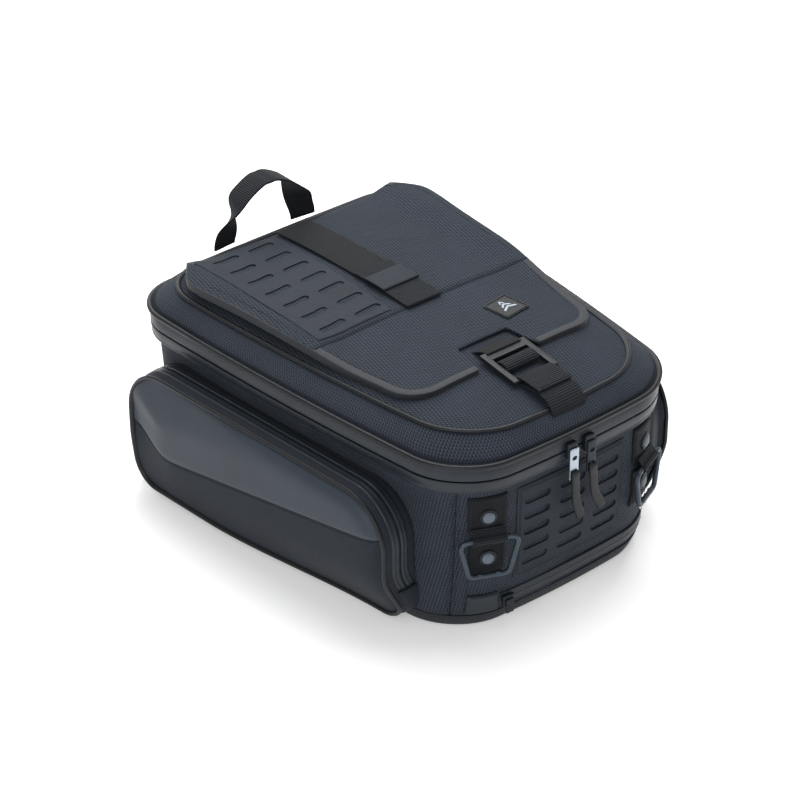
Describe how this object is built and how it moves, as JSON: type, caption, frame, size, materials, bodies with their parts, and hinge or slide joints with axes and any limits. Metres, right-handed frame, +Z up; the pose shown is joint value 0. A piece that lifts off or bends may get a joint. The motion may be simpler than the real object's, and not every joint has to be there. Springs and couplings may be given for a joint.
{
  "type": "tail bag",
  "caption": "Soft motorcycle tail bag: zipped hinged lid under a buckled flap, two moulded side pockets, carry handle and tie-down rings.",
  "frame": {"origin": "centre of the base, on the surface that the bag rests on", "axes": "+Z up; -Y is the end with the zip pulls; +Y is the end where the lid hinges and the handle stands; X across the bag, through the side pockets"},
  "size_m": [0.399, 0.4367, 0.254],
  "materials": {
    "ballistic_fabric": "matt woven ballistic nylon",
    "coated_fabric": "smooth coated fabric",
    "rubberised_panel": "laser-cut rubberised laminate",
    "moulded_foam_skin": "heat-moulded smooth skin over foam",
    "zip_tape": "water-resistant coated zip tape",
    "piping": "bound piping",
    "webbing": "ribbed polyester webbing",
    "smooth_strap": "flat woven strap",
    "lining": "thin coated lining",
    "stiffener": "sheet plastic",
    "black_metal": "black coated zinc and steel",
    "bright_metal": "gunmetal",
    "buckle_plastic": "black acetal",
    "pull_rubber": "moulded rubber over cord",
    "patch_rubber": "soft rubber patch with a plain raised mark"
  },
  "bodies": {
    "body": {"base_tray": "coated_fabric", "base_board": "stiffener", "body_lining": "lining", "front_panel": "ballistic_fabric", "rear_panel": "ballistic_fabric", "side_panel_left": "ballistic_fabric", "side_panel_right": "ballistic_fabric", "zip_tape_lower": "zip_tape", "front_molle_panel": "rubberised_panel", "front_pocket_zip": "zip_tape", "front_pocket_garage": "coated_fabric", "tie_down_tab_front_left": "webbing", "tie_down_tab_front_right": "webbing", "tie_down_tab_rear_left": "webbing", "tie_down_tab_rear_right": "webbing", "tab_rivets": "bright_metal", "pocket_gusset_left": "ballistic_fabric", "pocket_gusset_right": "ballistic_fabric", "pocket_zip_left": "zip_tape", "pocket_zip_right": "zip_tape", "pocket_zip_garages": "coated_fabric"},
    "lid": {"lid_wall": "ballistic_fabric", "lid_top_panel": "ballistic_fabric", "lid_board": "stiffener", "zip_tape_upper": "zip_tape", "lid_piping": "piping", "handle_anchors": "webbing", "lid_strap": "webbing"},
    "handle": {"carry_handle": "webbing"},
    "flap": {"flap_binding": "piping", "flap_rear_panel": "ballistic_fabric", "flap_front_panel": "ballistic_fabric", "flap_molle_panel": "rubberised_panel", "flap_webbing": "webbing", "webbing_keeper": "webbing", "label_patch": "patch_rubber", "flap_strap": "smooth_strap"},
    "buckle": {"frame_buckle": "buckle_plastic"},
    "ring_front_left": {"d_ring_front_left": "black_metal"},
    "ring_front_right": {"d_ring_front_right": "black_metal"},
    "ring_rear_left": {"d_ring_rear_left": "black_metal"},
    "ring_rear_right": {"d_ring_rear_right": "black_metal"},
    "slider_left": {"zip_slider_left": "black_metal"},
    "slider_right": {"zip_slider_right": "black_metal"},
    "puller_left": {"zip_puller_left": "bright_metal", "zip_pull_left": "pull_rubber"},
    "puller_right": {"zip_puller_right": "black_metal", "zip_pull_right": "pull_rubber"},
    "front_slider": {"front_zip_slider": "black_metal"},
    "front_pull": {"front_zip_pull": "pull_rubber"},
    "pocket_cover_left": {"pocket_moulded_panel_left": "moulded_foam_skin", "pocket_lower_panel_left": "ballistic_fabric", "pocket_piping_left": "piping"},
    "pocket_cover_right": {"pocket_moulded_panel_right": "moulded_foam_skin", "pocket_lower_panel_right": "ballistic_fabric", "pocket_piping_right": "piping"},
    "pocket_slider_left": {"pocket_slider_left": "black_metal"},
    "pocket_slider_right": {"pocket_slider_right": "black_metal"},
    "pocket_pull_left": {"pocket_pull_left": "pull_rubber"},
    "pocket_pull_right": {"pocket_pull_right": "pull_rubber"}
  },
  "joints": [
    {"name": "lid_hinge", "type": "hinge", "parent": "body", "child": "lid", "pos_m": [0, 0.2106, 0.162], "axis": [-1, 0, 0], "range_deg": [0, 100]},
    {"name": "handle_fold", "type": "hinge", "parent": "lid", "child": "handle", "pos_m": [-0.012, 0.203, 0.197], "axis": [-1, 0, 0], "range_deg": [0, 80]},
    {"name": "flap_hinge", "type": "hinge", "parent": "lid", "child": "flap", "pos_m": [0, 0.178, 0.2004], "axis": [-1, 0, 0], "range_deg": [0, 85]},
    {"name": "buckle_pivot", "type": "hinge", "parent": "lid", "child": "buckle", "pos_m": [0, -0.158, 0.206], "axis": [1, 0, 0], "range_deg": [0, 110]},
    {"name": "ring_front_left_swing", "type": "hinge", "parent": "body", "child": "ring_front_left", "pos_m": [-0.09268, -0.20673, 0.102], "axis": [-0.9135, 0.4067, 0], "range_deg": [0, 150]},
    {"name": "ring_front_right_swing", "type": "hinge", "parent": "body", "child": "ring_front_right", "pos_m": [0.09268, -0.20673, 0.102], "axis": [-0.9135, -0.4067, 0], "range_deg": [0, 150]},
    {"name": "ring_rear_left_swing", "type": "hinge", "parent": "body", "child": "ring_rear_left", "pos_m": [-0.089, 0.20975, 0.102], "axis": [1, 0, 0], "range_deg": [0, 150]},
    {"name": "ring_rear_right_swing", "type": "hinge", "parent": "body", "child": "ring_rear_right", "pos_m": [0.089, 0.20975, 0.102], "axis": [1, 0, 0], "range_deg": [0, 150]},
    {"name": "slider_left_travel", "type": "hinge", "parent": "body", "child": "slider_left", "pos_m": [0, 0.94257, 0.162], "axis": [0, 0, -1], "range_deg": [0, 1.98]},
    {"name": "puller_left_swing", "type": "hinge", "parent": "slider_left", "child": "puller_left", "pos_m": [-0.01006, -0.21966, 0.1641], "axis": [-1, 0.0087, 0], "range_deg": [0, 150]},
    {"name": "slider_right_travel", "type": "hinge", "parent": "body", "child": "slider_right", "pos_m": [0, 0.94257, 0.162], "axis": [0, 0, 1], "range_deg": [0, 1.98]},
    {"name": "puller_right_swing", "type": "hinge", "parent": "slider_right", "child": "puller_right", "pos_m": [0.01006, -0.21966, 0.1641], "axis": [-1, -0.0087, 0], "range_deg": [0, 150]},
    {"name": "front_slider_travel", "type": "hinge", "parent": "body", "child": "front_slider", "pos_m": [0, 0.90586, 0.027], "axis": [0, 0, 1], "range_deg": [0, 7.03]},
    {"name": "front_pull_swing", "type": "hinge", "parent": "front_slider", "child": "front_pull", "pos_m": [-0.06838, -0.20759, 0.0282], "axis": [-0.9981, 0.0613, 0], "range_deg": [0, 150]},
    {"name": "pocket_cover_left_fold", "type": "hinge", "parent": "body", "child": "pocket_cover_left", "pos_m": [-0.17669, 0.01018, 0.006], "axis": [0.0746, -0.9972, 0], "range_deg": [0, 45]},
    {"name": "pocket_slider_left_travel", "type": "slide", "parent": "body", "child": "pocket_slider_left", "axis": [0, 0, 1], "range_m": [0, 0.028]},
    {"name": "pocket_pull_left_swing", "type": "hinge", "parent": "pocket_slider_left", "child": "pocket_pull_left", "pos_m": [-0.17426, 0.18274, 0.0541], "axis": [0.9972, 0.0746, 0], "range_deg": [0, 120]},
    {"name": "pocket_cover_right_fold", "type": "hinge", "parent": "body", "child": "pocket_cover_right", "pos_m": [0.17669, 0.01018, 0.006], "axis": [0.0746, 0.9972, 0], "range_deg": [0, 45]},
    {"name": "pocket_slider_right_travel", "type": "slide", "parent": "body", "child": "pocket_slider_right", "axis": [0, 0, 1], "range_m": [0, 0.028]},
    {"name": "pocket_pull_right_swing", "type": "hinge", "parent": "pocket_slider_right", "child": "pocket_pull_right", "pos_m": [0.17426, 0.18274, 0.0541], "axis": [0.9972, -0.0746, 0], "range_deg": [0, 120]}
  ]
}
